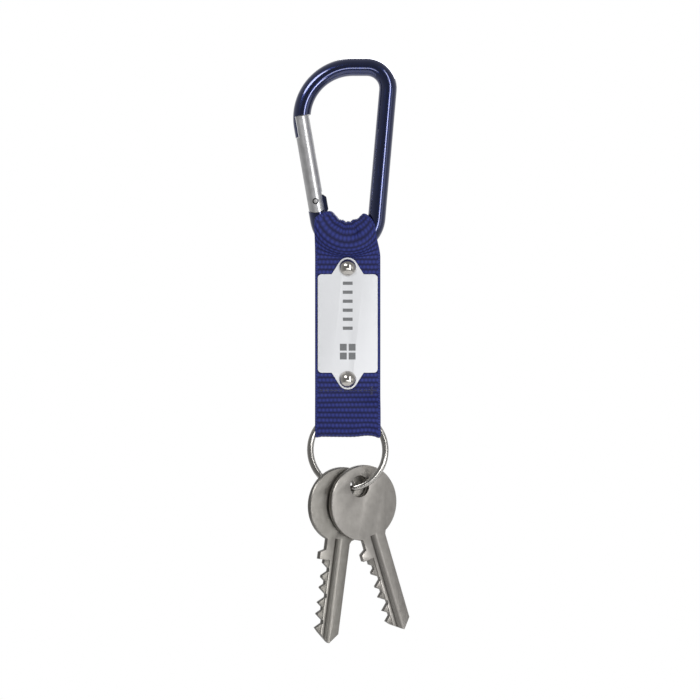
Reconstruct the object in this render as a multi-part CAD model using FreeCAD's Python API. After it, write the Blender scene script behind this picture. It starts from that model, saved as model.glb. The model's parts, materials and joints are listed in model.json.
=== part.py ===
import FreeCAD, Part
import math
import os

# Carabiner keyring: an accessory carabiner, a webbing strap with a riveted label
# plate, a split ring and two cylinder keys.
# Millimetres, +Z up, +X to the right as seen from the plate side, the plate faces -Y.
# The origin is the inner crown of the carabiner, where the keyring hangs.

# ---------------------------------------------------------------- carabiner
ROD_D = 5.4                # body rod
CARABINER_LENGTH = 60.0    # outside, crown to bow
NOSE_R = 15.6              # centreline radius of the nose corner
NOSE_X = -1.2
SHOULDER_R = 6.5           # centreline radius of the spine corner
SHOULDER_X = 3.1
BOW_R = 8.9                # centreline radius of the lower bow
BOW_X = -2.75

GATE_D = 5.0
GATE_LENGTH = 26.3         # pivot to the top of the gate
GATE_END_R = 3.5           # rounded lower end about the pivot
GATE_GAP = 0.25            # gate top to nose face
SHOULDER_GAP = 0.15        # gate end to body shoulder
LIP_LENGTH = 6.1           # nose lip that the gate closes against
LIP_T = 1.0
LIP_GAP = 0.12
PIVOT_ABOVE_BOW = 6.1      # pivot above the bow's tangent point, along the gate
PIN_D = 1.8
PIN_RUNNING_FIT = 0.05     # radial, pin in gate
TANG_T = 1.9
TANG_R = 1.75              # tang's round top about the pivot
TANG_REACH = 3.45          # how far the tang stands out on the inner side
TANG_BEVEL = 0.9           # upper inner corner
TANG_CHIN = 0.6            # lower inner corner
TANG_GAP = 0.12            # each side, tang in gate slot
SPRING_BORE_D = 2.7
SPRING_BORE_TOP = 15.5     # above the pivot
PLUNGER_D = 2.4
PLUNGER_LENGTH = 3.2
PLUNGER_GAP = 0.06
PLUNGER_STEM_LENGTH = 1.0  # inside the spring
PLUNGER_STEM_FIT = 0.1     # radial, stem in spring
SPRING_D = 2.2             # outside
SPRING_WIRE_D = 0.36
SPRING_TURNS = 9

# ---------------------------------------------------------------- strap
STRAP_WIDTH = 20.0
PLY_T = 1.1
STRAP_DROP = 55.0          # lowest point of the loop round the bow to the bottom of the fold
SWING_GAP = 0.3            # between the loop round the bow and the strap below it
SADDLE_FIT = 0.05          # radial, webbing round the rod
SADDLE_RISE = 10.0         # webbing edges above the swing axis
SADDLE_DIP = 6.0           # middle of the gathered webbing above the swing axis
SADDLE_STEP = 1.9          # where the edges of the webbing start to narrow
SADDLE_NARROWING = 4.0     # narrowing of each edge at its top
FLEX_ABOVE_FOLD = 12.8     # line where the strap bends over the ring pocket
FLEX_GAP = 0.35
STITCH_ABOVE_FLEX = 1.6
STITCH_COUNT = 12
STITCH_LENGTH = 1.15
STITCH_D = 0.4
TAIL_BELOW_STITCH = 0.6

# ---------------------------------------------------------------- label plate and rivets
PLATE_WIDTH = 18.3
PLATE_HEIGHT = 30.1
PLATE_T = 0.5
PLATE_CORNER_R = 1.2
TAB_BASE = 9.8             # width where a tab meets the plate's straight edge
TAB_RIM = 0.5              # plate showing round the rivet's cap at the tip
PLATE_BELOW_LOOP = 20.15   # plate centre below the loop round the bow
RIVET_PITCH = 34.2
CAP_D = 5.1
CAP_HEIGHT = 1.9
CAP_EDGE_T = 0.35
POST_D = 2.4
POST_FIT = 0.05            # radial
POST_FLANGE_D = 5.6
POST_FLANGE_T = 0.45
POST_IN_CAP = 0.9
BORE_D = 1.1               # hollow of the post, open at the back

# ---------------------------------------------------------------- split ring
RING_OD = 25.2
RING_WIRE_W = 1.7          # across the wire, radially
RING_WIRE_T = 1.05         # each coil, along the ring's axis
RING_COIL_GAP = 0.1
RING_TURN = 12.0           # degrees about Z, right side towards the plate side
RING_POCKET_GAP = 0.25     # ring to webbing
POCKET_FOLD_R = 1.95       # inside of the fold
RING_DROP = 3.9            # ring centre below the strap's fold
JOG_HALF_ANGLE = 9.0       # where the wire crosses from one coil to the other
JOG_CUT_ANGLE = 0.8        # free end to crossing wire

# ---------------------------------------------------------------- keys
KEY_TURN = 30.0            # degrees about Z, left side towards the plate side
KEY_T = 1.95
KEY_BOW_D = 23.2
KEY_HOLE_ROOM = 2.8        # key hole, beyond the two coils' thickness and width
KEY_HOLE_OFFSET = 5.4      # hole centre above the bow centre
KEY_LIFT = 0.25            # hole centre inside the wire's centreline
KEY_LENGTH = 53.8          # top of bow to tip
KEY_BLADE_W = 7.9
KEY_NECK_W = 9.2
KEY_RIM = 0.3              # chamfer of the bow's rims
KEY_GROOVE_FLOOR_W = 0.8
KEY_GROOVE_MOUTH_W = 2.5
KEY_GROOVE_DEPTH = 0.6
KEY_FRONT_GROOVE_X = -0.2  # from the blade's middle
KEY_BACK_GROOVE_X = 1.9
KEY_STEP_W = 1.7           # milled step along the cut edge
KEY_STEP_DEPTH = 0.4
KEY_STOP_W = 1.9           # stop nib beside the neck
KEY_STOP_DROP = 2.4        # bow's edge to the top of the nib
KEY_STOP_LENGTH = 3.1
KEY_NECK_RISE = 1.4        # slope from the neck to the blade's back
KEY_GROOVE_RUNOUT = 1.2    # front and back keyways run this far into the bow
KEY_FIRST_CUT = 3.0
KEY_CUT_PITCH = 3.95
KEY_CUT_FLAT = 0.9
KEY_CUT_SLOPE = 0.75
KEY_TIP = 3.0
KEY_TIP_OFFSET = 1.1       # tip from the blade's middle
KEY_TIP_IN = 1.3           # bitted edge set in at the tip
FRONT_KEY_PLACE = 16.5     # degrees round the ring from its lowest point
REAR_KEY_PLACE = -5.5
FRONT_KEY_TILT = 18.4      # degrees in its own plane, tip to the right
REAR_KEY_TILT = -8.4
FRONT_BITTING = (1.1, 2.0, 1.4, 2.3, 1.7)
REAR_BITTING = (1.9, 1.3, 2.2, 1.5, 2.1)

X_AXIS = FreeCAD.Vector(1, 0, 0)
Y_AXIS = FreeCAD.Vector(0, 1, 0)
Z_AXIS = FreeCAD.Vector(0, 0, 1)
ORIGIN = FreeCAD.Vector(0, 0, 0)


def point(x, z, y=0.0):
    return FreeCAD.Vector(x, y, z)


def on_circle(centre, radius, angle):
    a = math.radians(angle)
    return point(centre.x + radius * math.cos(a), centre.z + radius * math.sin(a))


def tangent_angle(centre_a, radius_a, centre_b, radius_b, side):
    """Angle of the normal of the line that touches both circles on one side (+1 or -1)."""
    across = centre_b.sub(centre_a)
    lean = math.degrees(math.atan2(across.z, across.x))
    return lean + side * math.degrees(math.acos((radius_a - radius_b) / across.Length))


def arc(centre, radius, start, end):
    middle = on_circle(centre, radius, (start + end) / 2)
    return Part.Arc(on_circle(centre, radius, start), middle, on_circle(centre, radius, end)).toShape()


def line(a, b):
    return Part.LineSegment(a, b).toShape()


def prism(corners, depth_from, depth_to, direction=Y_AXIS):
    """Closed outline of points, extruded between two depths along a direction."""
    start = direction * depth_from
    wire = Part.makePolygon([p.add(start) for p in corners + corners[:1]])
    return Part.Face(wire).extrude(direction * (depth_to - depth_from))


def cylinder_y(radius, x, z, y_from, y_to):
    return Part.makeCylinder(radius, y_to - y_from, FreeCAD.Vector(x, y_from, z), Y_AXIS)


def cylinder_x(radius, y, z, x_from, x_to):
    return Part.makeCylinder(radius, x_to - x_from, FreeCAD.Vector(x_from, y, z), X_AXIS)


def box(x0, x1, y0, y1, z0, z1):
    return Part.makeBox(x1 - x0, y1 - y0, z1 - z0, FreeCAD.Vector(x0, y0, z0))


# ---------------------------------------------------------------- shared places
ROD_R = ROD_D / 2
NOSE_C = point(NOSE_X, ROD_R - NOSE_R)
SHOULDER_C = point(SHOULDER_X, ROD_R - SHOULDER_R)
BOW_C = point(BOW_X, ROD_D - CARABINER_LENGTH + ROD_R + BOW_R)
SPINE_ANGLE = tangent_angle(SHOULDER_C, SHOULDER_R, BOW_C, BOW_R, 1)
GATE_SIDE_ANGLE = tangent_angle(NOSE_C, NOSE_R, BOW_C, BOW_R, -1)
GATE_TILT = GATE_SIDE_ANGLE + 180.0
GATE_UP = point(math.sin(math.radians(GATE_TILT)) * -1, math.cos(math.radians(GATE_TILT)))
PIVOT = on_circle(BOW_C, BOW_R, GATE_SIDE_ANGLE).add(GATE_UP * PIVOT_ABOVE_BOW)

STRAP_LEFT = BOW_X - STRAP_WIDTH / 2
STRAP_RIGHT = BOW_X + STRAP_WIDTH / 2
SWING_Z = BOW_C.z - BOW_R
SADDLE_R = ROD_R + PLY_T
STRAP_TOP_R = SADDLE_R + SWING_GAP
LOOP_LOW_Z = SWING_Z - SADDLE_R
FOLD_Z = LOOP_LOW_Z - STRAP_DROP
FLEX_Z = FOLD_Z + FLEX_ABOVE_FOLD
STITCH_Z = FLEX_Z + STITCH_ABOVE_FLEX
PLATE_Z = LOOP_LOW_Z - PLATE_BELOW_LOOP
PLATE_FRONT = -PLY_T - PLATE_T
BACK_FACE = 2 * PLY_T
RIVET_HEIGHTS = {"upper": PLATE_Z + RIVET_PITCH / 2, "lower": PLATE_Z - RIVET_PITCH / 2}

RING_R = (RING_OD - RING_WIRE_W) / 2
RING_HALF_T = RING_WIRE_T + RING_COIL_GAP / 2
RING_C = point(BOW_X, FOLD_Z - RING_DROP)
KEY_HOLE_D = 2 * RING_HALF_T + RING_WIRE_W + KEY_HOLE_ROOM


def place_on_gate(shape):
    """From the gate's own frame (pivot at the origin, gate upright) to its place."""
    shape.rotate(ORIGIN, Y_AXIS, -GATE_TILT)
    shape.translate(PIVOT)
    return shape


# ---------------------------------------------------------------- carabiner
def rod_path():
    """Nose lip, over the crown, down the spine and round the bow to the hinge end."""
    on_nose = on_circle(NOSE_C, NOSE_R, GATE_SIDE_ANGLE)
    lip_end = PIVOT.add(GATE_UP * (GATE_LENGTH - LIP_LENGTH))
    hinge_end = PIVOT.sub(GATE_UP * (GATE_END_R / 2))
    return [
        line(lip_end, on_nose),
        arc(NOSE_C, NOSE_R, GATE_SIDE_ANGLE, -270.0),
        line(on_circle(NOSE_C, NOSE_R, 90), on_circle(SHOULDER_C, SHOULDER_R, 90)),
        arc(SHOULDER_C, SHOULDER_R, 90, SPINE_ANGLE),
        line(on_circle(SHOULDER_C, SHOULDER_R, SPINE_ANGLE), on_circle(BOW_C, BOW_R, SPINE_ANGLE)),
        arc(BOW_C, BOW_R, SPINE_ANGLE, GATE_SIDE_ANGLE),
        line(on_circle(BOW_C, BOW_R, GATE_SIDE_ANGLE), hinge_end),
    ]


def swept_rod(radius):
    edges = rod_path()
    start = edges[0].valueAt(edges[0].FirstParameter)
    section = Part.Wire(Part.makeCircle(radius, start, GATE_UP))
    return Part.Wire(edges).makePipeShell([section], True, False)


def tang():
    foot = -GATE_END_R - ROD_R
    outline = [
        point(-TANG_R, foot), point(-TANG_R, 0), point(0, 0), point(0, TANG_R),
        point(TANG_REACH - TANG_BEVEL, TANG_R), point(TANG_REACH, TANG_R - TANG_BEVEL),
        point(TANG_REACH, TANG_CHIN - GATE_END_R), point(TANG_REACH - TANG_CHIN, -GATE_END_R - TANG_CHIN / 2),
        point(ROD_R * 0.8, foot),
    ]
    plate = prism(outline, -TANG_T / 2, TANG_T / 2)
    return plate.fuse(cylinder_y(TANG_R, 0, 0, -TANG_T / 2, TANG_T / 2))


def carabiner_body():
    nose_face = GATE_LENGTH + GATE_GAP
    nose_cut = box(LIP_T - ROD_R, ROD_D, -ROD_D, ROD_D, GATE_LENGTH - LIP_LENGTH - ROD_R, nose_face)
    shoulder_cut = cylinder_y(GATE_END_R + SHOULDER_GAP, 0, 0, -ROD_D, ROD_D)
    body = swept_rod(ROD_R).cut(place_on_gate(nose_cut)).cut(place_on_gate(shoulder_cut))
    body = body.fuse(place_on_gate(tang())).removeSplitter()
    return body.cut(place_on_gate(cylinder_y(PIN_D / 2, 0, 0, -ROD_D, ROD_D)))


def gate_arm():
    gate_r = GATE_D / 2
    low = -GATE_END_R
    gate = Part.makeCylinder(gate_r, GATE_LENGTH - low, point(0, low))
    end_round = cylinder_y(GATE_END_R, 0, 0, -gate_r, gate_r)
    gate = gate.common(end_round.fuse(box(-gate_r, gate_r, -gate_r, gate_r, 0, GATE_LENGTH)))
    slot_half = TANG_T / 2 + TANG_GAP
    sweep_r = math.hypot(TANG_REACH, TANG_R - TANG_BEVEL) + TANG_GAP
    slot = cylinder_y(sweep_r, 0, 0, -slot_half, slot_half)
    slot = slot.fuse(box(-sweep_r, sweep_r, -slot_half, slot_half, 2 * low, 0))
    slot = slot.common(box(-TANG_R - TANG_GAP, 2 * sweep_r, -gate_r, gate_r, 2 * low, 2 * sweep_r))
    bore = Part.makeCylinder(SPRING_BORE_D / 2, SPRING_BORE_TOP, ORIGIN)
    pin_bore = cylinder_y(PIN_D / 2 + PIN_RUNNING_FIT, 0, 0, -gate_r, gate_r)
    seat_low = GATE_LENGTH - LIP_LENGTH - GATE_GAP
    seat = box(-gate_r, LIP_T - ROD_R + LIP_GAP, -gate_r, gate_r, seat_low, GATE_LENGTH)
    for cutter in (slot, bore, pin_bore, seat):
        gate = gate.cut(cutter)
    return place_on_gate(gate.removeSplitter())


def gate_pivot_pin():
    half = GATE_D / 2
    pin = cylinder_y(PIN_D / 2, 0, 0, -half, half)
    return place_on_gate(pin.common(Part.makeCylinder(half, PIN_D, point(0, -PIN_D / 2))))


def gate_plunger():
    low = TANG_R + PLUNGER_GAP
    plunger = Part.makeCylinder(PLUNGER_D / 2, PLUNGER_LENGTH, point(0, low))
    stem_r = SPRING_D / 2 - SPRING_WIRE_D - PLUNGER_STEM_FIT
    stem = Part.makeCylinder(stem_r, PLUNGER_STEM_LENGTH, point(0, low + PLUNGER_LENGTH))
    return place_on_gate(plunger.fuse(stem))


def gate_spring():
    """Compression spring between the plunger and the end of the bore."""
    low = TANG_R + PLUNGER_GAP + PLUNGER_LENGTH + SPRING_WIRE_D / 2
    high = SPRING_BORE_TOP - SPRING_WIRE_D / 2
    height = high - low
    helix = Part.makeHelix(height / SPRING_TURNS, height, (SPRING_D - SPRING_WIRE_D) / 2)
    start = FreeCAD.Vector((SPRING_D - SPRING_WIRE_D) / 2, 0, 0)
    section = Part.Wire(Part.makeCircle(SPRING_WIRE_D / 2, start, Y_AXIS))
    spring = Part.Wire(helix.Edges).makePipeShell([section], True, True)
    spring.translate(point(0, low))
    return place_on_gate(spring)


# ---------------------------------------------------------------- strap
def swing_cut(radius):
    return cylinder_x(radius, 0, SWING_Z, STRAP_LEFT - 1, STRAP_RIGHT + 1)


def webbing_top_loop():
    """The webbing gathered over the bow: a closed saddle round the rod."""
    side = swing_cut(SADDLE_R).fuse(
        box(STRAP_LEFT - 1, STRAP_RIGHT + 1, -SADDLE_R, SADDLE_R, SWING_Z, SWING_Z + SADDLE_RISE))
    outline = [
        point(STRAP_LEFT, SWING_Z - SADDLE_R), point(STRAP_RIGHT, SWING_Z - SADDLE_R),
        point(STRAP_RIGHT, SWING_Z + SADDLE_STEP),
        point(STRAP_RIGHT - SADDLE_NARROWING, SWING_Z + SADDLE_RISE),
        point(BOW_X, SWING_Z + SADDLE_DIP),
        point(STRAP_LEFT + SADDLE_NARROWING, SWING_Z + SADDLE_RISE),
        point(STRAP_LEFT, SWING_Z + SADDLE_STEP),
    ]
    saddle = side.common(prism(outline, -2 * SADDLE_R, 2 * SADDLE_R))
    gate_space = place_on_gate(box(-ROD_D, GATE_D / 2 + SWING_GAP, -ROD_D, ROD_D,
                                   -GATE_END_R - SHOULDER_GAP, ROD_D))
    return saddle.cut(swept_rod(ROD_R + SADDLE_FIT)).cut(gate_space)


def rivet_holes():
    radius = POST_D / 2 + POST_FIT
    holes = [cylinder_y(radius, BOW_X, z, -ROD_D, ROD_D) for z in RIVET_HEIGHTS.values()]
    return holes[0].fuse(holes[1])


def main_ply(y_from, y_to):
    """One layer of the straight strap, rounded at the flex line and clear of the saddle."""
    ply = box(STRAP_LEFT, STRAP_RIGHT, y_from, y_to, FLEX_Z, SWING_Z)
    end = cylinder_x(PLY_T, 0, FLEX_Z, STRAP_LEFT, STRAP_RIGHT)
    end = end.common(box(STRAP_LEFT, STRAP_RIGHT, y_from, y_to, FLEX_Z - PLY_T, FLEX_Z))
    return ply.fuse(end).removeSplitter().cut(swing_cut(STRAP_TOP_R)).cut(rivet_holes())


def webbing_back_tail():
    """The overlapping end of the strip, behind the other two layers."""
    tail = box(STRAP_LEFT, STRAP_RIGHT, PLY_T, BACK_FACE, STITCH_Z - TAIL_BELOW_STITCH, SWING_Z)
    return tail.cut(swing_cut(STRAP_TOP_R)).cut(rivet_holes())


def pocket_outline(sides, radius, bottom):
    """Closed outline in the YZ plane: side points from the top down, then a round bottom."""
    centre = point(0, bottom + radius)
    corner = sides[-1]
    away = corner.sub(centre)
    lean = math.degrees(math.atan2(away.z, away.x)) - math.degrees(math.acos(radius / away.Length))
    right = sides + [on_circle(centre, radius, lean)]
    left = [point(-p.x, p.z) for p in reversed(right)]
    corners = left[1:] + right
    edges = [line(p, q) for p, q in zip(corners, corners[1:])]
    edges.append(Part.Arc(right[-1], on_circle(centre, radius, -90), left[0]).toShape())
    edges.append(line(left[0], left[1]))
    outline = Part.Wire(edges)
    outline.rotate(ORIGIN, Z_AXIS, 90)
    return Part.Face(outline)


def ring_notches():
    """Where the ring leaves the fold, the fold's two lower corners give way to it."""
    inside = RING_R - RING_WIRE_W / 2 - RING_POCKET_GAP
    half = RING_HALF_T + RING_POCKET_GAP
    top = RING_DROP + PLY_T + POCKET_FOLD_R
    start = math.sqrt(inside ** 2 - (RING_DROP + PLY_T) ** 2)
    notches = []
    for side in (-1, 1):
        x_from, x_to = sorted((side * start, side * RING_OD))
        notch = box(x_from, x_to, -half, half, 0, top)
        notch.rotate(ORIGIN, Z_AXIS, -RING_TURN)
        notch.translate(RING_C)
        notches.append(notch)
    return notches[0].fuse(notches[1])


def webbing_ring_loop():
    """The fold that holds the ring; it follows the ring's turn across its width."""
    lean = math.radians(RING_TURN)
    run = FreeCAD.Vector(STRAP_WIDTH, -STRAP_WIDTH * math.tan(lean), 0)
    half = RING_HALF_T / math.cos(lean) + RING_POCKET_GAP
    pocket_top = RING_C.z + RING_OD / 2 + RING_POCKET_GAP
    neck = point(PLY_T, FLEX_Z - PLY_T - FLEX_GAP)
    outer = pocket_outline([neck, point(half + PLY_T, pocket_top)], POCKET_FOLD_R + PLY_T, FOLD_Z)
    inner = pocket_outline([point(half, pocket_top)], POCKET_FOLD_R, FOLD_Z + PLY_T)
    loop = outer.extrude(run).cut(inner.extrude(run))
    loop.translate(FreeCAD.Vector(STRAP_LEFT, -run.y / 2, 0))
    return loop.cut(ring_notches())


def webbing_stitching():
    """Two rows of short threads, one on each side of the strap, below the lower rivet."""
    pitch = (STRAP_WIDTH - 2 * PLY_T) / STITCH_COUNT
    threads = []
    for i in range(STITCH_COUNT):
        x_from = STRAP_LEFT + PLY_T + pitch * (i + 0.5) - STITCH_LENGTH / 2
        x_to = x_from + STITCH_LENGTH
        for face, proud in ((-PLY_T, -PLY_T - STITCH_D), (BACK_FACE, BACK_FACE + STITCH_D)):
            thread = cylinder_x(STITCH_D / 2, face, STITCH_Z, x_from, x_to)
            keep = box(x_from, x_to, min(face, proud), max(face, proud), FLEX_Z, SWING_Z)
            threads.append(thread.common(keep))
    return Part.makeCompound(threads)


# ---------------------------------------------------------------- label plate and rivets
def label_plate():
    half_w = PLATE_WIDTH / 2
    half_h = PLATE_HEIGHT / 2
    body = box(BOW_X - half_w, BOW_X + half_w, PLATE_FRONT, -PLY_T, PLATE_Z - half_h, PLATE_Z + half_h)
    edges = [e for e in body.Edges if abs(e.tangentAt(e.FirstParameter).y) > 0.9]
    body = body.makeFillet(PLATE_CORNER_R, edges)
    tip_r = CAP_D / 2 + TAB_RIM
    for way, z in ((1, RIVET_HEIGHTS["upper"]), (-1, RIVET_HEIGHTS["lower"])):
        root = PLATE_Z + way * half_h
        rise = way * (z - root)
        lean = math.acos(tip_r / math.hypot(TAB_BASE / 2, rise)) - math.atan2(rise, TAB_BASE / 2)
        touch = point(tip_r * math.cos(lean), z + way * tip_r * math.sin(lean))
        half = [point(TAB_BASE / 2, root - way * PLATE_CORNER_R), point(TAB_BASE / 2, root), touch]
        outline = [point(BOW_X - p.x, p.z) for p in half] + [point(BOW_X + p.x, p.z) for p in reversed(half)]
        tab = prism(outline, PLATE_FRONT, -PLY_T).fuse(cylinder_y(tip_r, BOW_X, z, PLATE_FRONT, -PLY_T))
        body = body.fuse(tab)
    return body.removeSplitter().cut(rivet_holes())


def rivet_cap(z):
    """Domed cap on the plate, bored from behind for its post."""
    rise = CAP_HEIGHT - CAP_EDGE_T
    dome_r = ((CAP_D / 2) ** 2 + rise ** 2) / (2 * rise)
    base_y = PLATE_FRONT - CAP_EDGE_T
    rim = cylinder_y(CAP_D / 2, BOW_X, z, base_y, PLATE_FRONT)
    ball = Part.makeSphere(dome_r, FreeCAD.Vector(BOW_X, base_y - rise + dome_r, z))
    dome = ball.common(cylinder_y(CAP_D / 2, BOW_X, z, base_y - CAP_HEIGHT, base_y))
    bore = cylinder_y(POST_D / 2 + POST_FIT, BOW_X, z, PLATE_FRONT - POST_IN_CAP - POST_FIT, PLATE_FRONT)
    return rim.fuse(dome).removeSplitter().cut(bore)


def rivet_post(z):
    """Hollow post with a flange that clamps the layers from behind."""
    post = cylinder_y(POST_D / 2, BOW_X, z, PLATE_FRONT - POST_IN_CAP, BACK_FACE)
    flange = cylinder_y(POST_FLANGE_D / 2, BOW_X, z, BACK_FACE, BACK_FACE + POST_FLANGE_T)
    bore = cylinder_y(BORE_D / 2, BOW_X, z, PLATE_FRONT, BACK_FACE + POST_FLANGE_T)
    return post.fuse(flange).removeSplitter().cut(bore)


# ---------------------------------------------------------------- split ring
def wire_section(angle, y):
    """Rounded rectangular section of the ring's wire at an angle round the ring."""
    half_w = RING_WIRE_W / 2
    half_t = RING_WIRE_T / 2
    soft = RING_WIRE_T * 0.28
    outer = [(half_w - soft, -half_t), (half_w, soft - half_t)]
    outer += [(u, -v) for u, v in reversed(outer)]
    corners = outer + [(-u, v) for u, v in reversed(outer)]
    wire = Part.makePolygon([FreeCAD.Vector(RING_R + u, y + v, 0) for u, v in corners + corners[:1]])
    wire.rotate(ORIGIN, Y_AXIS, -angle)
    return wire


def split_ring():
    """Two coils of one wire; at the top the wire crosses from one coil to the other."""
    coil_y = (RING_WIRE_T + RING_COIL_GAP) / 2
    free = JOG_HALF_ANGLE + JOG_CUT_ANGLE
    top = 90.0
    coils = []
    for y, start in ((-coil_y, top + free), (coil_y, top + JOG_HALF_ANGLE)):
        face = Part.Face(wire_section(start, y))
        coils.append(face.revolve(ORIGIN, Y_AXIS, -(360.0 - free - JOG_HALF_ANGLE)))
    steps = 6
    sections = []
    for i in range(steps + 1):
        share = i / steps
        eased = share * share * (3 - 2 * share)
        angle = top + (2 * share - 1) * JOG_HALF_ANGLE
        sections.append(wire_section(angle, (2 * eased - 1) * coil_y))
    jog = Part.makeLoft(sections, True, False)
    ring = coils[0].fuse(jog).fuse(coils[1]).removeSplitter()
    ring.rotate(ORIGIN, Z_AXIS, -RING_TURN)
    ring.translate(RING_C)
    return ring


# ---------------------------------------------------------------- keys
def key_bow():
    """Round bow with chamfered rims, centred under the hole."""
    half_t = KEY_T / 2
    bow_r = KEY_BOW_D / 2
    low = -KEY_HOLE_OFFSET
    rim = [point(0, low, -half_t), point(bow_r - KEY_RIM, low, -half_t), point(bow_r, low, KEY_RIM - half_t)]
    rim += [point(p.x, p.z, -p.y) for p in reversed(rim)]
    profile = Part.Face(Part.makePolygon(rim + rim[:1]))
    return profile.revolve(point(0, low), Y_AXIS, 360)


def key_blade(bitting):
    """Blade with a straight back, bitting cuts on the other edge and a pointed tip."""
    half_t = KEY_T / 2
    half_w = KEY_BLADE_W / 2
    neck = -KEY_HOLE_OFFSET - KEY_BOW_D / 2
    tip = neck + KEY_BOW_D - KEY_LENGTH
    stop_top = neck - KEY_STOP_DROP
    stop_end = stop_top - KEY_STOP_LENGTH
    inside_bow = neck + KEY_BLADE_W
    edge = -half_w
    nib = edge - KEY_STOP_W
    outline = [point(edge, inside_bow), point(edge, stop_top), point(nib, stop_top - KEY_STOP_W / 2),
               point(nib, stop_end), point(edge, stop_end)]
    for i, depth in enumerate(bitting):
        centre = stop_end - KEY_FIRST_CUT - i * KEY_CUT_PITCH
        flat = KEY_CUT_FLAT / 2
        slope = flat + depth * KEY_CUT_SLOPE
        outline += [point(edge, centre + slope), point(edge + depth, centre + flat),
                    point(edge + depth, centre - flat), point(edge, centre - slope)]
    outline += [point(KEY_TIP_IN - half_w, tip + KEY_TIP), point(KEY_TIP_OFFSET, tip),
                point(half_w, tip + KEY_TIP), point(half_w, neck),
                point(KEY_NECK_W / 2, neck + KEY_NECK_RISE), point(KEY_NECK_W / 2, inside_bow)]
    return prism(outline, -half_t, half_t)


def key_grooves():
    """Keyways in both faces, out through the tip, and the milled step along the cut edge."""
    half_t = KEY_T / 2
    neck = -KEY_HOLE_OFFSET - KEY_BOW_D / 2
    start = neck + KEY_GROOVE_RUNOUT
    cutters = []
    for x, side in ((KEY_FRONT_GROOVE_X, -1), (KEY_BACK_GROOVE_X, 1)):
        slope = (KEY_GROOVE_MOUTH_W - KEY_GROOVE_FLOOR_W) / 2 / KEY_GROOVE_DEPTH
        floor_half = KEY_GROOVE_FLOOR_W / 2
        face_half = floor_half + slope * (KEY_GROOVE_DEPTH + KEY_RIM)
        face = side * (half_t + KEY_RIM)
        floor = side * (half_t - KEY_GROOVE_DEPTH)
        section = [FreeCAD.Vector(x - face_half, face, start), FreeCAD.Vector(x + face_half, face, start),
                   FreeCAD.Vector(x + floor_half, floor, start), FreeCAD.Vector(x - floor_half, floor, start)]
        cutters.append(prism(section, 0, -KEY_LENGTH, Z_AXIS))
    step_top = neck - KEY_STOP_DROP - KEY_STOP_LENGTH
    inner = KEY_STEP_W - KEY_BLADE_W / 2
    cutters.append(box(-KEY_BLADE_W, inner, -KEY_T, KEY_STEP_DEPTH - half_t, step_top - KEY_LENGTH, step_top))
    return cutters


def key(bitting, tilt, place):
    """A whole key, tilted in its own plane, turned, and hung on the ring."""
    shape = key_bow().fuse(key_blade(bitting)).removeSplitter()
    for cutter in key_grooves():
        shape = shape.cut(cutter)
    hole = Part.makeCylinder(KEY_HOLE_D / 2, 2 * KEY_T, FreeCAD.Vector(0, -KEY_T, 0), Y_AXIS)
    shape = shape.cut(hole)
    shape.rotate(ORIGIN, Y_AXIS, -tilt)
    shape.rotate(ORIGIN, Z_AXIS, KEY_TURN)
    shape.translate(key_place(place))
    return shape


def key_place(angle):
    """Point on the ring's wire at an angle from the ring's lowest point."""
    a = math.radians(angle)
    turn = math.radians(RING_TURN)
    radius = RING_R - KEY_LIFT
    along = radius * math.sin(a)
    drop = FreeCAD.Vector(along * math.cos(turn), -along * math.sin(turn), -radius * math.cos(a))
    return RING_C.add(drop)


# ---------------------------------------------------------------- all the pieces
def pieces():
    made = {
        "carabiner_body": carabiner_body(),
        "gate_arm": gate_arm(),
        "gate_pivot_pin": gate_pivot_pin(),
        "gate_plunger": gate_plunger(),
        "gate_spring": gate_spring(),
        "webbing_top_loop": webbing_top_loop(),
        "webbing_front_ply": main_ply(-PLY_T, 0),
        "webbing_back_ply": main_ply(0, PLY_T),
        "webbing_back_tail": webbing_back_tail(),
        "webbing_ring_loop": webbing_ring_loop(),
        "webbing_stitching": webbing_stitching(),
        "label_plate": label_plate(),
        "split_ring": split_ring(),
        "front_key": key(FRONT_BITTING, FRONT_KEY_TILT, FRONT_KEY_PLACE),
        "rear_key": key(REAR_BITTING, REAR_KEY_TILT, REAR_KEY_PLACE),
    }
    for name, z in RIVET_HEIGHTS.items():
        made[name + "_rivet_cap"] = rivet_cap(z)
        made[name + "_rivet_post"] = rivet_post(z)
    return made


os.makedirs("parts", exist_ok=True)
for node, shape in pieces().items():
    shape.exportStep("parts/" + node + ".step")
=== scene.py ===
import json
import math
import bmesh
import bpy
import numpy as np
from mathutils import Matrix, Vector


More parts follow.
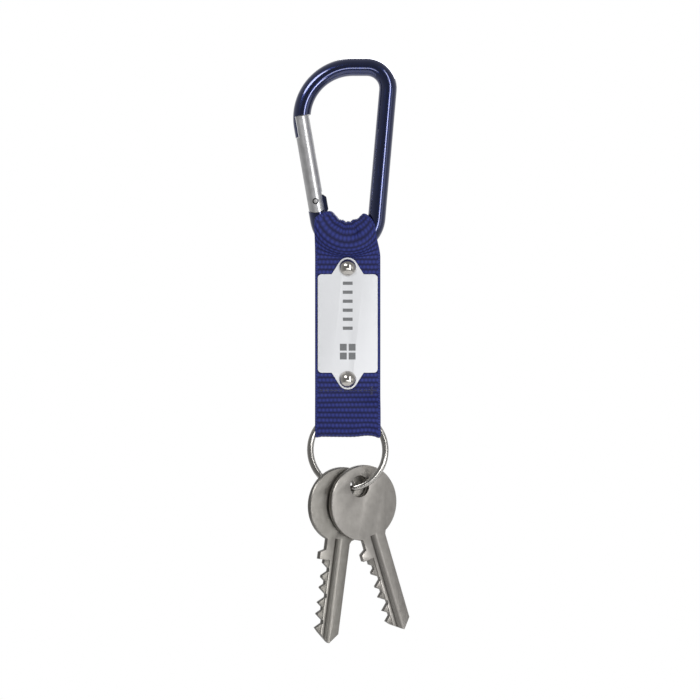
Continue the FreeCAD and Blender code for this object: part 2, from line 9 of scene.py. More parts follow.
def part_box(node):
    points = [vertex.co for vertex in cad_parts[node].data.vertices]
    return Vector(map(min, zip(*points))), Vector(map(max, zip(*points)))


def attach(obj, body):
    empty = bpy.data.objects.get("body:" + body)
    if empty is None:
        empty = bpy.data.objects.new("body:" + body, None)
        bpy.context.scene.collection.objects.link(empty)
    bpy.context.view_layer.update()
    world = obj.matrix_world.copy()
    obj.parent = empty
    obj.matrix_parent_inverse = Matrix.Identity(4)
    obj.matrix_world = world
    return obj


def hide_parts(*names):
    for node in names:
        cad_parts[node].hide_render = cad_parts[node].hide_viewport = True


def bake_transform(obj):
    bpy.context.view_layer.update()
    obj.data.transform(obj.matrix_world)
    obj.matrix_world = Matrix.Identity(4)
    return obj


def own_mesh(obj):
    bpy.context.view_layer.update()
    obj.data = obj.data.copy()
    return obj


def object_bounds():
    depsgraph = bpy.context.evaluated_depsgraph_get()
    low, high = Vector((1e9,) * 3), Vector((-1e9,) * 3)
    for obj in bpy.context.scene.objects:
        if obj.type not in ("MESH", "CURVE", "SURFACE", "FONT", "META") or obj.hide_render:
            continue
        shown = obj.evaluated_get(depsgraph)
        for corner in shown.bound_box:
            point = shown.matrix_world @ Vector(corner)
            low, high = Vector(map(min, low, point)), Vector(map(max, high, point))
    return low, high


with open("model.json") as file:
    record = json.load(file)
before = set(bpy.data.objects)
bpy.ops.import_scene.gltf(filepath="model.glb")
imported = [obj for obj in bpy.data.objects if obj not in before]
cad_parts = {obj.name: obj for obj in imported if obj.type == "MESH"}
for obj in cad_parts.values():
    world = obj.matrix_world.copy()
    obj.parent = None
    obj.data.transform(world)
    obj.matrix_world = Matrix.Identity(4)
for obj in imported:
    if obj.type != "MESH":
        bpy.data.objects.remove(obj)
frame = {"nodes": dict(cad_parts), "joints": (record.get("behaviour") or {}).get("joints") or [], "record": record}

CAD_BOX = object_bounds()
MM = 0.001
NODES = frame["nodes"]
JOINTS = {joint["name"]: joint for joint in frame["joints"]}
RECORD = frame["record"]
BODY_OF = {node: body for body, nodes in RECORD["behaviour"]["bodies"].items() for node in nodes}

# Places on the keyring, all read from the frame
SWING = Vector(JOINTS["strap_swing"]["pos_m"])
FLEX = Vector(JOINTS["strap_flex"]["pos_m"])
RING_TURN = math.atan2(JOINTS["ring_turn"]["axis"][0], JOINTS["ring_turn"]["axis"][1])
FRONT_LOW, FRONT_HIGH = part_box("webbing_front_ply")
TAIL_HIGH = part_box("webbing_back_tail")[1]
PLATE_LOW, PLATE_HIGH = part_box("label_plate")
ROD_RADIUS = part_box("carabiner_body")[1].y
STRAP_MIDDLE = (FRONT_LOW.x + FRONT_HIGH.x) / 2
STRAP_HALF = (FRONT_HIGH.x - FRONT_LOW.x) / 2
PLY = FRONT_HIGH.y - FRONT_LOW.y
FOLD_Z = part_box("webbing_ring_loop")[0].z
CENTRE = (CAD_BOX[0] + CAD_BOX[1]) / 2
HEIGHT = CAD_BOX[1].z - CAD_BOX[0].z


# ---------------------------------------------------------------- camera, floor and light
AIR_FRONT = 0.16
AIR_BACK = 0.70
TABLE_RADIUS = 210 * MM
TABLE_DROP = 60 * MM
FRAME_MARGIN = 1.2


def place_camera():
    """A long lens square to the label plate, with the keyring filling most of the height."""
    view_width = HEIGHT * FRAME_MARGIN
    lens, sensor = 100.0, 36.0
    data = bpy.data.cameras.new("camera")
    data.lens = lens
    data.sensor_width = sensor
    camera = bpy.data.objects.new("camera", data)
    bpy.context.scene.collection.objects.link(camera)
    distance = view_width * lens / sensor
    middle = (SWING.x + 0.7 * MM, -distance, CENTRE.z)
    camera.matrix_world = Matrix.Translation(middle) @ Matrix.Rotation(math.pi / 2, 4, "X")
    bpy.context.scene.camera = camera


def soft_box(name, place, width, height, power, colour=(1.0, 1.0, 1.0)):
    """An oval studio light that faces the middle of the keyring."""
    data = bpy.data.lights.new(name, "AREA")
    data.shape = "ELLIPSE"
    data.size = width
    data.size_y = height
    data.energy = power
    data.color = colour
    light = bpy.data.objects.new(name, data)
    aim = (CENTRE - Vector(place)).to_track_quat("-Z", "Y").to_matrix().to_4x4()
    light.matrix_world = Matrix.Translation(place) @ aim
    bpy.context.scene.collection.objects.link(light)


def studio():
    """A round pale table below the keyring, soft boxes, and pale air that is darker to the front."""
    bm = bmesh.new()
    table_z = CAD_BOX[0].z - TABLE_DROP
    bmesh.ops.create_circle(bm, cap_ends=True, segments=96, radius=TABLE_RADIUS,
                            matrix=Matrix.Translation((SWING.x, 0, table_z)))
    finished("table", bm, table_top())
    soft_box("key_light", (-0.42, -0.72, 0.46), 0.50, 0.26, 3.1)
    soft_box("low_light", (0.10, -0.76, -0.30), 0.80, 0.12, 1.3)
    soft_box("strip_light", (0.43, -0.70, -0.02), 0.13, 1.1, 3.5)
    soft_box("side_panel", (0.87, -0.50, -0.12), 0.40, 0.50, 0.30)
    soft_box("back_light", (0.25, 0.80, 0.45), 0.7, 0.5, 5.0)
    bpy.context.scene.world = studio_air()
    bpy.context.scene.view_settings.view_transform = "Standard"


def studio_air():
    """White where it is seen, and for light a pale grey that darkens to the front."""
    world = bpy.data.worlds.new("studio_air")
    world.use_nodes = True
    tree = world.node_tree
    air = tree.nodes["Background"]
    seen = tree.nodes.new("ShaderNodeBackground")
    seen.inputs["Color"].default_value = (1.0, 1.0, 1.0, 1.0)
    path = tree.nodes.new("ShaderNodeLightPath")
    choice = tree.nodes.new("ShaderNodeMixShader")
    way = tree.nodes.new("ShaderNodeTexCoord")
    split = tree.nodes.new("ShaderNodeSeparateXYZ")
    depth = tree.nodes.new("ShaderNodeMapRange")
    for socket, value in (("From Min", -1.0), ("From Max", 1.0), ("To Min", AIR_FRONT), ("To Max", AIR_BACK)):
        depth.inputs[socket].default_value = value
    tree.links.new(way.outputs["Generated"], split.inputs["Vector"])
    tree.links.new(split.outputs["Y"], depth.inputs["Value"])
    tree.links.new(depth.outputs["Result"], air.inputs["Strength"])
    air.inputs["Color"].default_value = (1.0, 1.0, 1.0, 1.0)
    tree.links.new(path.outputs["Is Camera Ray"], choice.inputs["Fac"])
    tree.links.new(air.outputs["Background"], choice.inputs[1])
    tree.links.new(seen.outputs["Background"], choice.inputs[2])
    tree.links.new(choice.outputs["Shader"], tree.nodes["World Output"].inputs["Surface"])
    return world


# ---------------------------------------------------------------- finishes
class Shade:
    """One shader socket. Arithmetic on it adds Math nodes."""

    def __init__(self, finish, socket):
        self.finish = finish
        self.socket = socket

    def _math(self, operation, *values):
        return self.finish.node("ShaderNodeMath", {"operation": operation}, dict(enumerate(values)))

    def __add__(self, other):
        return self._math("ADD", self, other)

    def __sub__(self, other):
        return self._math("SUBTRACT", self, other)

    def __rsub__(self, other):
        return self._math("SUBTRACT", other, self)

    def __mul__(self, other):
        return self._math("MULTIPLY", self, other)

    __radd__ = __add__
    __rmul__ = __mul__

    def clamped(self):
        return self._math("MINIMUM", self._math("MAXIMUM", self, 0.0), 1.0)


class Finish:
    """A material, with one way of adding nodes to it."""

    def __init__(self, name, colour, **shader):
        self.material = bpy.data.materials.new(name)
        self.material.use_nodes = True
        self.tree = self.material.node_tree
        self.shader = self.tree.nodes["Principled BSDF"]
        self.shader.inputs["Base Color"].default_value = (*colour, 1.0)
        for socket, value in shader.items():
            self.shader.inputs[socket.replace("_", " ").title().replace("Ior", "IOR")].default_value = value

    def node(self, kind, settings=None, values=None, out=0):
        """Adds a node: its settings first, then its sockets' values or links. Returns one output."""
        added = self.tree.nodes.new(kind)
        for key, value in (settings or {}).items():
            setattr(added, key, value)
        for key, value in (values or {}).items():
            if isinstance(value, Shade):
                self.tree.links.new(value.socket, added.inputs[key])
            else:
                added.inputs[key].default_value = value
        return Shade(self, added.outputs[out])

    def place(self, scale=(1.0, 1.0, 1.0), turn=(0.0, 0.0, 0.0), coordinates="Object"):
        """The piece's own coordinates, scaled and turned."""
        source = self.node("ShaderNodeTexCoord", out=coordinates)
        return self.node("ShaderNodeMapping", None, {"Vector": source, "Scale": scale, "Rotation": turn})

    def noise(self, vector, scale, detail=3.0, roughness=0.5):
        return self.node("ShaderNodeTexNoise", None,
                         {"Vector": vector, "Scale": scale, "Detail": detail, "Roughness": roughness})

    def mix(self, factor, a, b):
        """Blend of two colours."""
        values = {0: factor}
        for index, colour in ((6, a), (7, b)):
            values[index] = colour if isinstance(colour, Shade) else (*colour, 1.0)
        return self.node("ShaderNodeMix", {"data_type": "RGBA"}, values, out=2)

    def bump(self, height, distance, strength=1.0):
        settings = {"Height": height, "Distance": distance, "Strength": strength}
        return self.node("ShaderNodeBump", None, settings)

    def feed(self, **links):
        for socket, value in links.items():
            self.tree.links.new(value.socket, self.shader.inputs[socket.replace("_", " ")])
        return self.material


def anodised_blue():
    """Deep blue dye over bright aluminium, with a clear glossy seal and faint handling marks."""
    f = Finish("anodised_blue", (0.010, 0.017, 0.11), metallic=1.0, roughness=0.20, coat_weight=1.0,
               coat_roughness=0.08, coat_ior=1.7)
    cloud = f.noise(f.place(), 90.0, 4.0)
    scuffs = f.noise(f.place((1.0, 1.0, 0.12)), 2600.0, 2.0)
    colour = f.mix(cloud, (0.009, 0.017, 0.085), (0.016, 0.030, 0.13))
    wear = ((scuffs - 0.55) * 4.0).clamped()
    return f.feed(Base_Color=colour, Roughness=0.16 + cloud * 0.10 + wear * 0.12,
                  Normal=f.bump(scuffs, 0.006 * MM, 0.08))


def brushed_metal(name, dark, light, roughness, grain=(1.0, 1.0, 0.05), scale=3200.0, patina=0.3, flats=None):
    """Bare metal with a fine grain along the piece, uneven tarnish and rubbed high spots.
    Flats are a middle place, a facing axis and a half thickness: below them the metal is painted darker, as
    painted shade in the grooves."""
    f = Finish(name, light, metallic=1.0, roughness=roughness)
    lines = f.noise(f.place(grain), scale, 3.0, 0.6)
    tarnish = f.noise(f.place(), 420.0, 5.0, 0.6)
    rub = f.noise(f.place(), 700.0, 3.0)
    blend = (tarnish * (1.0 + patina) - patina * 0.5 + (lines - 0.5) * 0.35).clamped()
    colour = f.mix(blend, dark, light)
    if flats:
        middle, axis, half = flats
        depth = f.node("ShaderNodeVectorMath", {"operation": "DOT_PRODUCT"}, {0: f.place(), 1: axis}, "Value")
        depth = f.node("ShaderNodeMath", {"operation": "ABSOLUTE"}, {0: depth - middle})
        # Painted shade: below the flat faces, in the grooves and cuts, the colour is mixed toward a darker tone.
        groove_shade = ((half - 0.12 * MM - depth) * (1 / (0.30 * MM))).clamped()
        colour = f.mix(groove_shade, colour, tuple(0.6 * c for c in dark))
    rough = (roughness * 0.75 + rub * roughness * 0.5 + lines * 0.06).clamped()
    return f.feed(Base_Color=colour, Roughness=rough,
                  Normal=f.bump(lines, 0.012 * MM, 0.35))


def polished_nickel(name, tint, roughness):
    """Bright plating with faint swirl marks."""
    f = Finish(name, tint, metallic=1.0, roughness=roughness)
    swirl = f.noise(f.place(), 1800.0, 4.0)
    haze = f.noise(f.place(), 220.0, 3.0)
    dull = tuple(0.82 * c for c in tint)
    return f.feed(Base_Color=f.mix(haze, dull, tint), Roughness=roughness + swirl * roughness * 0.8,
                  Normal=f.bump(swirl, 0.01 * MM, 0.15))


def peened_pin():
    """Steel pin end: a light hammered centre inside a ring of painted shade at the seam."""
    f = Finish("pin_steel", (0.40, 0.40, 0.41), metallic=1.0, roughness=0.35)
    pivot = JOINTS["gate_pivot"]["pos_m"]
    flat = f.node("ShaderNodeVectorMath", {"operation": "MULTIPLY"}, {0: f.place(), 1: (1.0, 0.0, 1.0)})
    ends = {0: flat, 1: (pivot[0], 0.0, pivot[2])}
    radius = f.node("ShaderNodeVectorMath", {"operation": "DISTANCE"}, ends, "Value")
    dents = f.noise(f.place(), 1500.0, 2.0)
    # Painted shade: outside the centre the pin's end face goes near black, for the shaded seam round the pin.
    seam_shade = ((radius - 0.46 * MM) * (1 / (0.22 * MM))).clamped()
    colour = f.mix(seam_shade, (0.50, 0.50, 0.50), (0.035, 0.035, 0.04))
    return f.feed(Base_Color=colour, Roughness=0.28 + dents * 0.2, Normal=f.bump(dents, 0.04 * MM, 0.4))


def plate_satin():
    """Pale satin plate: bead-blasted grain under a thin lacquer."""
    f = Finish("plate_satin", (0.66, 0.67, 0.69), metallic=0.15, roughness=0.42, coat_weight=0.2,
               coat_roughness=0.3)
    grain = f.noise(f.place(), 5200.0, 2.0)
    cloud = f.noise(f.place(), 60.0, 3.0)
    brushed = f.noise(f.place((1.0, 1.0, 0.03)), 3000.0, 2.0)
    colour = f.mix(cloud, (0.64, 0.648, 0.67), (0.70, 0.708, 0.725))
    return f.feed(Base_Color=colour, Roughness=0.36 + grain * 0.12 + brushed * 0.05,
                  Normal=f.bump(grain + brushed * 0.6, 0.012 * MM, 0.3))


def print_ink():
    """Grey printed mark, slightly uneven."""
    f = Finish("print_ink", (0.13, 0.135, 0.14), roughness=0.6)
    speckle = f.noise(f.place(), 2400.0, 2.0)
    return f.feed(Base_Color=f.mix(speckle, (0.10, 0.105, 0.11), (0.19, 0.195, 0.20)),
                  Roughness=0.5 + speckle * 0.2)


def webbing_yarn():
    """Royal blue polyester yarn: twisted fibres, deep shadow between picks, light on the crowns."""
    f = Finish("webbing_yarn", (0.016, 0.022, 0.16), roughness=0.62, sheen_weight=0.05, sheen_roughness=0.45,
               specular_ior_level=0.25)
    crown = f.node("ShaderNodeAttribute", {"attribute_name": "crown"}, out="Fac")
    strip = f.place((1.0, 1.0, 1.0), coordinates="UV")
    stretched = f.node("ShaderNodeMapping", None, {"Vector": strip, "Scale": (9000.0, 1400.0, 1.0)})
    fibre = f.noise(stretched, 1.0, 2.0)
    uneven = f.noise(f.place(), 420.0, 3.0)
    lit = f.mix(uneven, (0.014, 0.024, 0.165), (0.034, 0.046, 0.24))
    # Painted shade and light: the yarn goes near black where it lies low between the picks, and to the lit colour
    # on the crowns.
    colour = f.mix((crown * 1.15 + (fibre - 0.5) * 0.5).clamped(), (0.002, 0.0025, 0.035), lit)
    return f.feed(Base_Color=colour, Roughness=0.52 + fibre * 0.2,
                  Normal=f.bump(fibre, 0.05 * MM, 0.5))


def sewing_thread():
    """Darker bonded thread with a tight twist."""
    f = Finish("sewing_thread", (0.010, 0.012, 0.06), roughness=0.5, sheen_weight=0.2)
    inputs = {"Vector": f.place(), "Scale": 1500.0}
    twist = f.node("ShaderNodeTexWave", {"bands_direction": "DIAGONAL"}, inputs)
    colour = f.mix(twist, (0.006, 0.007, 0.035), (0.020, 0.024, 0.11))
    return f.feed(Base_Color=colour, Roughness=0.4 + twist * 0.2, Normal=f.bump(twist, 0.04 * MM, 0.6))


def table_top():
    """Plain pale studio table."""
    f = Finish("table_top", (0.92, 0.92, 0.92), roughness=0.9)
    tooth = f.noise(f.place(), 30.0, 2.0)
    return f.feed(Base_Color=f.mix(tooth, (0.91, 0.91, 0.91), (0.93, 0.93, 0.93)))


# ---------------------------------------------------------------- shared mesh steps
def finished(name, bm, material):
    """Makes the object from a bmesh, with its place in its mesh."""
    mesh = bpy.data.meshes.new(name)
    bm.to_mesh(mesh)
    bm.free()
    mesh.materials.append(material)
    piece = bpy.data.objects.new(name, mesh)
    bpy.context.scene.collection.objects.link(piece)
    return piece


def refined(name, node, material, crease=32.0, soften=0.0):
    """A cleaned copy of a CAD node: joined facets, smooth rounds, crisp or softened edges."""
    bm = bmesh.new()
    bm.from_mesh(NODES[node].data)
    bmesh.ops.remove_doubles(bm, verts=bm.verts, dist=0.002 * MM)
    bmesh.ops.join_triangles(bm, faces=bm.faces, angle_face_threshold=math.radians(4.0),
                             angle_shape_threshold=math.pi)
    if soften:
        bmesh.ops.dissolve_limit(bm, angle_limit=math.radians(0.6), verts=bm.verts, edges=bm.edges)
        sharp = [e for e in bm.edges if e.is_manifold and e.calc_face_angle(0.0) > math.radians(crease)]
        bmesh.ops.bevel(bm, geom=sharp, offset=soften, offset_type="OFFSET", segments=3, profile=0.5,
                        affect="EDGES", material=-1, clamp_overlap=True)
    smoothed(bm, crease)
    piece = finished(name, bm, material)
    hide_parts(node)
    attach(piece, BODY_OF[node])
    return piece


def smoothed(bm, crease):
    """Smooth faces, with a hard edge wherever the surface turns by more than the crease angle."""
    for face in bm.faces:
        face.smooth = True
    for edge in bm.edges:
        edge.smooth = not (edge.is_manifold and edge.calc_face_angle(0.0) > math.radians(crease))


# ---------------------------------------------------------------- metal pieces
def true_rounds(piece, radius):
    """Exact shading for round rod bent in the XZ plane: the normal's Y is the height over the radius."""
    mesh = piece.data
    normals = np.array([corner.vector for corner in mesh.corner_normals])
    heights = np.array([mesh.vertices[loop.vertex_index].co.y for loop in mesh.loops]) / radius
    sideways = np.hypot(normals[:, 0], normals[:, 2])
    on_round = (np.abs(normals[:, 1] - heights) < 0.15) & (np.abs(heights) < 0.995) & (sideways > 0.05)
    scale = np.sqrt(np.clip(1 - heights ** 2, 0, 1)) / np.maximum(sideways, 1e-6)
    normals[on_round, 0] *= scale[on_round]
    normals[on_round, 2] *= scale[on_round]
    normals[on_round, 1] = heights[on_round]
    mesh.normals_split_custom_set(normals.tolist())


def carabiner():
    body = refined("carabiner_rod", "carabiner_body", anodised_blue())
    true_rounds(body, ROD_RADIUS)
    refined("gate", "gate_arm", brushed_metal("gate_satin", (0.46, 0.46, 0.47), (0.72, 0.72, 0.73), 0.33))
    refined("gate_pin", "gate_pivot_pin", peened_pin())
    turned = brushed_metal("plunger_turned", (0.42, 0.32, 0.14), (0.72, 0.58, 0.30), 0.3)
    refined("plunger", "gate_plunger", turned)
    return_spring()


def return_spring():
    """The gate's return spring, as a cleaned copy with a mesh of its own."""
    spring = refined("return_spring", "gate_spring", polished_nickel("spring_wire", (0.45, 0.45, 0.46), 0.3))
    slide = next(joint for joint in RECORD["behaviour"]["joints"] if joint["name"] == "plunger_slide")
    along = Vector(slide["axis"])
    far_end = max((v.co.copy() for v in spring.data.vertices), key=along.dot)
    length = along.dot(far_end) - min(along.dot(v.co) for v in spring.data.vertices)
    1 - slide["range_m"][1] / length
    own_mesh(spring)


def rivets():
    nickel = polished_nickel("rivet_nickel", (0.60, 0.575, 0.54), 0.13)
    for place in ("upper", "lower"):
        refined(place + "_cap", place + "_rivet_cap", nickel, crease=50.0)
        refined(place + "_post", place + "_rivet_post", nickel, soften=0.06 * MM)


def ring_and_keys():
    refined("ring", "split_ring", polished_nickel("ring_nickel", (0.50, 0.485, 0.46), 0.13), crease=60.0)
    # Painted shade: the rear key's colours are darker than the front key's, for the key lying behind. Each key
    # also gets painted shade in its grooves.
    for place, dark, light in (("front", (0.30, 0.285, 0.265), (0.45, 0.43, 0.405)),
                               ("rear", (0.23, 0.22, 0.20), (0.37, 0.355, 0.33))):
        axis = Vector(JOINTS[place + "_key_fan"]["axis"])
        depths = [axis.dot(v.co) for v in NODES[place + "_key"].data.vertices]
        flats = ((max(depths) + min(depths)) / 2, axis, (max(depths) - min(depths)) / 2)
        worn_and_shaded = brushed_metal(place + "_key_worn_and_shaded", dark, light, 0.34,
                             flats=flats, grain=(1.0, 1.0, 0.1), patina=0.1)
        refined(place + "_cut_key", place + "_key", worn_and_shaded, crease=25.0, soften=0.09 * MM)


# ---------------------------------------------------------------- label plate
PRINT_T = 0.02 * MM
BAR = Vector((3.0, 0, 1.0)) * MM
BAR_PITCH = 2.75 * MM
BAR_COUNT = 6
SQUARE = 2.1 * MM
SQUARE_PITCH = 2.7 * MM


def label():
    """The plate with eased edges, and its plain print: a run of bars over four squares."""
    refined("plate", "label_plate", plate_satin(), soften=0.1 * MM)
    middle = (PLATE_LOW + PLATE_HIGH) / 2
    bm = bmesh.new()

    def block(x, z, width, height):
        place = Matrix.Translation((middle.x + x, PLATE_LOW.y - PRINT_T / 2, middle.z + z))
        size = Matrix.Diagonal((width, PRINT_T, height, 1.0))
        bmesh.ops.create_cube(bm, size=1.0, matrix=place @ size)

    for i in range(BAR_COUNT):
        block(0, 12.3 * MM - i * BAR_PITCH, BAR.x, BAR.z)
    for column in (-0.5, 0.5):
        for row in (-0.5, 0.5):
            block(column * SQUARE_PITCH, -8.6 * MM + row * SQUARE_PITCH, SQUARE, SQUARE)
    mark = finished("plate_print", bm, print_ink())
    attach(mark, "strap")


# ---------------------------------------------------------------- webbing
CLOTH_T = 0.86 * MM
RELIEF = 0.13 * MM
WARP_DOTS = 17
ROW_PITCH = 1.57 * MM
SELVEDGE = 0.08            # share of the half width
SAMPLES = 6                # per row and per dot
LAY = PLY / 2              # the middle of a layer, from its face

BOW_RADIUS = 8.9 * MM
PLATE_MIDDLE_Z = (PLATE_LOW.z + PLATE_HIGH.z) / 2
RISE_FOOT = PLATE_HIGH.z - 0.1 * MM
FRONT_RUN = RISE_FOOT - PLATE_MIDDLE_Z
RISE_RUN = 8.5 * MM
WRAP_RUN = 15.0 * MM
BACK_RUN = RISE_FOOT - FLEX.z - 1.9 * MM
WRAP_Y = ROD_RADIUS + 0.65 * MM
REACH_ROUND = 70           # degrees round the bow that each edge of the face reaches
REACH_SKEW = 8             # more of it on the gate's side
SPREAD_OVER = 24           # further spread where the cloth is over the bow, degrees
SPREAD_SKEW = 4
OVER_ROD = 3.4             # the cloth's middle from the rod's centreline, at the edges, mm
BUNCH = 3.6                # more of it in the middle, where the cloth gathers, mm
SLUMP = 1.2 * MM           # how far the gate-side corner hangs
RISE_START = 0.7           # how far the curve pulls straight up from its foot, mm
RISE_START_EDGE = 2.5      # more of it at the edges, mm
RISE_END = 2.4             # how far it pulls into the bow, mm
RISE_END_EDGE = 1.2        # more of it at the edges, mm
DENT_X = STRAP_MIDDLE + 2.6 * MM
DENT_Z = SWING.z + 3.6 * MM
DENT_DEPTH = 1.0 * MM


def eased(t):
    t = np.clip(t, 0.0, 1.0)
    return t * t * (3 - 2 * t)


def weave(u, s, side):
    """Height of the yarn above the cloth, 0 to 1: staggered dots in ribs, and a cord along each edge."""
    rows = s / ROW_PITCH
    rib = (0.5 + 0.5 * np.cos(2 * np.pi * rows)) ** 0.7
    stagger = 0.5 * (np.floor(rows + 0.5) % 2) + 0.25 * side
    dots = 0.5 + 0.5 * np.cos(2 * np.pi * (u * WARP_DOTS / 2 + stagger))
    ground = rib * (0.45 + 0.55 * dots)
    picks = 0.55 + 0.45 * np.cos(2 * np.pi * rows * 2)
    edge = eased((np.abs(u) - 1 + SELVEDGE) / (SELVEDGE * 0.3))
    return ground * (1 - edge) + picks * edge


def strip(name, length, course, material):
    """A flat closed slab of cloth, laid along a course: course(u, s) gives the cloth's middle surface."""
    rows = round(length / ROW_PITCH * SAMPLES)
    bm = bmesh.new()
    bmesh.ops.create_grid(bm, x_segments=WARP_DOTS * SAMPLES, y_segments=rows, size=1.0)
    bmesh.ops.solidify(bm, geom=bm.faces[:], thickness=0.1)
    bmesh.ops.recalc_face_normals(bm, faces=bm.faces)
    for face in bm.faces:
        face.smooth = True
    piece = finished(name, bm, material)
    mesh = piece.data
    flat = np.empty(len(mesh.vertices) * 3)
    mesh.vertices.foreach_get("co", flat)
    flat = flat.reshape(-1, 3)
    u, s = flat[:, 0], (flat[:, 1] + 1) / 2 * length
    side = np.where(flat[:, 2] > flat[:, 2].mean(), 1.0, -1.0)
    step = 0.002
    across = course(u + step, s) - course(u - step, s)
    along = course(u, s + step * STRAP_HALF) - course(u, s - step * STRAP_HALF)
    normal = np.cross(across, along)
    normal /= np.linalg.norm(normal, axis=1)[:, None]
    crown = weave(u, s, side)
    rounding = np.sqrt(np.clip(1 - np.clip((np.abs(u) - 0.94) / 0.06, 0, 1) ** 2 * 0.9, 0, 1))
    lift = side * (CLOTH_T / 2 + RELIEF * crown) * rounding
    placed = course(u, s) + normal * lift[:, None]
    mesh.vertices.foreach_set("co", placed.ravel())
    mesh.attributes.new("crown", "FLOAT", "POINT").data.foreach_set("value", crown.astype(np.float32))
    corners = np.empty(len(mesh.loops), dtype=np.int32)
    mesh.loops.foreach_get("vertex_index", corners)
    chart = np.stack([(u[corners] + 1) * STRAP_HALF, s[corners]], axis=1)
    mesh.uv_layers.new(name="strip").data.foreach_set("uv", chart.ravel())
    mesh.update()
    return right_side_out(piece)


def right_side_out(piece):
    """Points a closed mesh's faces outwards."""
    bm = bmesh.new()
    bm.from_mesh(piece.data)
    bmesh.ops.recalc_face_normals(bm, faces=bm.faces)
    bm.to_mesh(piece.data)
    bm.free()
    return piece


def stacked(x, y, z):
    return np.stack(np.broadcast_arrays(x, y, z), axis=1)


def bow_frame(angle):
    """A point on the bow's centreline, and the way in from it to the bow's centre."""
    sine, cosine = np.sin(angle), np.cos(angle)
    inward = stacked(-sine, 0.0, cosine)
    centre = np.array((SWING.x, 0.0, SWING.z + BOW_RADIUS))
    return centre - BOW_RADIUS * inward, inward


def front_angle(u):
    """How far round the bow the cloth's face reaches, further on the gate's side."""
    return np.radians(REACH_ROUND * u + REACH_SKEW * u * (1 - u))


def upper_course(u, s):
    """Up the front, gathered round the bow, and down the back.

    Between the strap and the bow the cloth follows a Bezier curve. It leaves the foot late, past the
    plate's tip, and meets the bow from below, round the rod's underside."""
    from_top = s - FRONT_RUN - RISE_RUN - WRAP_RUN / 2
    side = np.where(from_top < 0, -1.0, 1.0)
    below = np.abs(from_top) - WRAP_RUN / 2
    turn = np.clip(from_top / (WRAP_RUN / 2), -1, 1) * np.pi / 2
    over = np.cos(turn)
    on_rod, inward = bow_frame(front_angle(u) + u * np.radians(SPREAD_OVER + SPREAD_SKEW * np.sign(u)) * over)
    ripple = 0.2 * np.sin(14 * u + 1) * over
    bunch = (OVER_ROD + BUNCH * (1 - np.abs(u) ** 3) - 0.3 * (1 - np.abs(u)) + ripple) * MM
    slump = SLUMP * np.clip(-u, 0, 1) ** 3
    reach = bunch * over - slump * (1 - over)
    wrap = on_rod + inward * reach[:, None] + stacked(0.0, WRAP_Y * np.sin(turn), 0.0 * u)
    foot = stacked(STRAP_MIDDLE + STRAP_HALF * u, side * LAY, RISE_FOOT)
    touch, way_in = bow_frame(front_angle(u))
    touch = touch - way_in * slump[:, None] + stacked(0.0, side * WRAP_Y, 0.0 * u)
    t = np.clip(1 - below / RISE_RUN, 0, 1)[:, None]
    edge = np.abs(u)[:, None]
    up = np.array((0.0, 0.0, 1.0))
    off = foot + up * (RISE_START + RISE_START_EDGE * edge) * MM
    on = touch - (way_in * (1 - edge) + up * edge) * (RISE_END + RISE_END_EDGE * edge) * MM
    rise = (1 - t) ** 3 * foot + 3 * (1 - t) ** 2 * t * off + 3 * (1 - t) * t ** 2 * on + t ** 3 * touch
    hang = foot - stacked(0.0 * u, 0.0, np.clip(below - RISE_RUN, 0, None))
    placed = np.where((below < 0)[:, None], wrap, np.where((below < RISE_RUN)[:, None], rise, hang))
    dent = np.exp(-((placed[:, 0] - DENT_X) / (1.1 * MM)) ** 2 - ((placed[:, 2] - DENT_Z) / (1.6 * MM)) ** 2)
    placed[:, 1] += np.where(side < 0, DENT_DEPTH * dent, 0.0)
    return placed


def fold_line():
    """The strip's lower half from the side, front to back: distance along it, y and z."""
    fold_r = 2.5 * MM
    centre_z = FOLD_Z + fold_r + LAY
    round_part = [(-fold_r * math.cos(a), centre_z - fold_r * math.sin(a)) for a in np.linspace(0, np.pi, 25)]
    waist = (FLEX.z + 0.4 * MM, FLEX.z - 3.85 * MM)
    mouth = 1.95 * MM
    knots = [(-LAY, PLATE_MIDDLE_Z), (-LAY, waist[0]), (-mouth, waist[1]), *round_part,
             (mouth, waist[1]), (3 * LAY, waist[0]), (3 * LAY, TAIL_HIGH.z)]
    knots = np.array(knots)
    gone = np.concatenate([[0], np.cumsum(np.linalg.norm(np.diff(knots, axis=0), axis=1))])
    fine = np.arange(0, gone[-1], 0.1 * MM)
    window = np.ones(13) / 13
    soft = [np.convolve(np.pad(np.interp(fine, gone, knots[:, k]), 6, "reflect", reflect_type="odd"),
                        window, "valid") for k in (0, 1)]
    return fine, soft[0], soft[1]


FOLD = fold_line()
RIPPLE = 0.45              # rise of the fold's lower edge, right of the middle, mm
CORNER_SAG = 0.25          # drop of the fold's two corners, mm


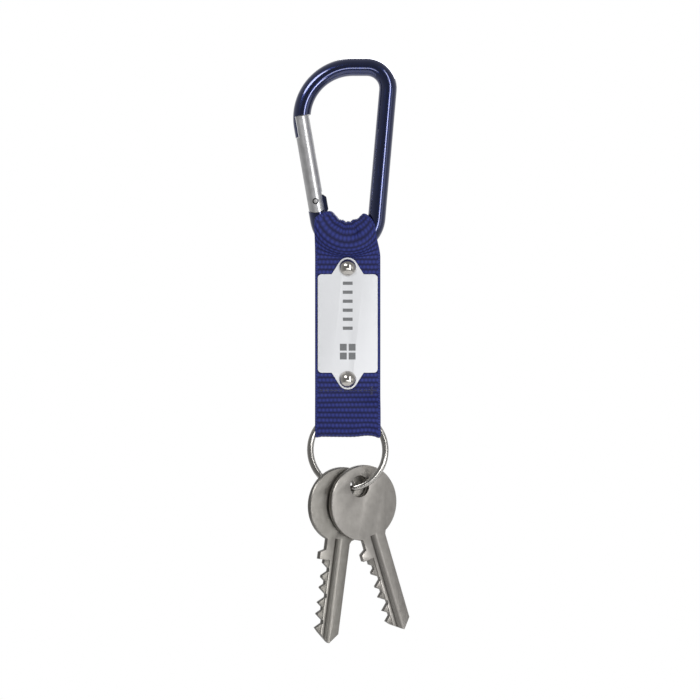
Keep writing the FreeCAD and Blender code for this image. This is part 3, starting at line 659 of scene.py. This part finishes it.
def lower_course(u, s):
    """Down the front, round the ring, and up the back to the cut end."""
    y, z = np.interp(s, FOLD[0], FOLD[1]), np.interp(s, FOLD[0], FOLD[2])
    beyond = s - np.clip(s, 0, FOLD[0][-1])
    z = z + np.where(s < 0, -beyond, beyond)
    follow = eased((FLEX.z + 0.9 * MM - z) / (6.0 * MM))
    low = eased((FOLD_Z + 7.0 * MM - z) / (6.0 * MM))
    y = y - STRAP_HALF * u * math.tan(RING_TURN) * follow
    wave = RIPPLE * np.exp(-((u - 0.6) / 0.28) ** 2) - CORNER_SAG * eased((np.abs(u) - 0.8) / 0.15)
    return stacked(STRAP_MIDDLE + STRAP_HALF * u, y, z + low * wave * MM)


def webbing():
    """One strip of webbing in two lengths: over the bow, and round the ring."""
    yarn = webbing_yarn()
    upper_length = FRONT_RUN + 2 * RISE_RUN + WRAP_RUN + BACK_RUN
    upper = strip("webbing_upper", upper_length, upper_course, yarn)
    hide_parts("webbing_top_loop", "webbing_front_ply", "webbing_back_ply")
    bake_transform(upper)
    lower = strip("webbing_lower", FOLD[0][-1], lower_course, yarn)
    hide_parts("webbing_back_tail", "webbing_ring_loop")
    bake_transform(lower)


STITCH_LOW, STITCH_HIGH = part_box("webbing_stitching")
STITCH_COUNT = 12
THREAD_DEPTH = 0.24 * MM
STITCH_HALF_Z = 0.27 * MM
TACK_BARS = 4
TACK_X = STRAP_MIDDLE + 7.3 * MM
TACK_TOP = 0.9             # above the row, mm
TACK_PITCH = 0.7           # mm


def stitching():
    """Sunk rows of thread, front and back, with a short bar tack near the right edge."""
    bm = bmesh.new()
    row_z = (STITCH_LOW.z + STITCH_HIGH.z) / 2
    pitch = (STITCH_HIGH.x - STITCH_LOW.x) / (STITCH_COUNT - 0.3)

    def thread(x, y, z, half_x, half_z):
        size = Matrix.Diagonal((half_x, THREAD_DEPTH, half_z, 1.0))
        bmesh.ops.create_uvsphere(bm, u_segments=12, v_segments=8, radius=1.0,
                                  matrix=Matrix.Translation((x, y, z)) @ size)

    for face in (FRONT_LOW.y, TAIL_HIGH.y):
        for i in range(STITCH_COUNT):
            thread(STITCH_LOW.x + pitch * (i + 0.4), face, row_z, pitch * 0.46, STITCH_HALF_Z)
        for i in range(TACK_BARS):
            thread(TACK_X, face, row_z + (TACK_TOP - i * TACK_PITCH) * MM, 0.42 * MM, 0.36 * MM)
    for face in bm.faces:
        face.smooth = True
    piece = finished("stitches", bm, sewing_thread())
    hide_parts("webbing_stitching")
    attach(piece, "strap")


# ---------------------------------------------------------------- the whole keyring
carabiner()
rivets()
ring_and_keys()
label()
webbing()
stitching()
studio()
place_camera()
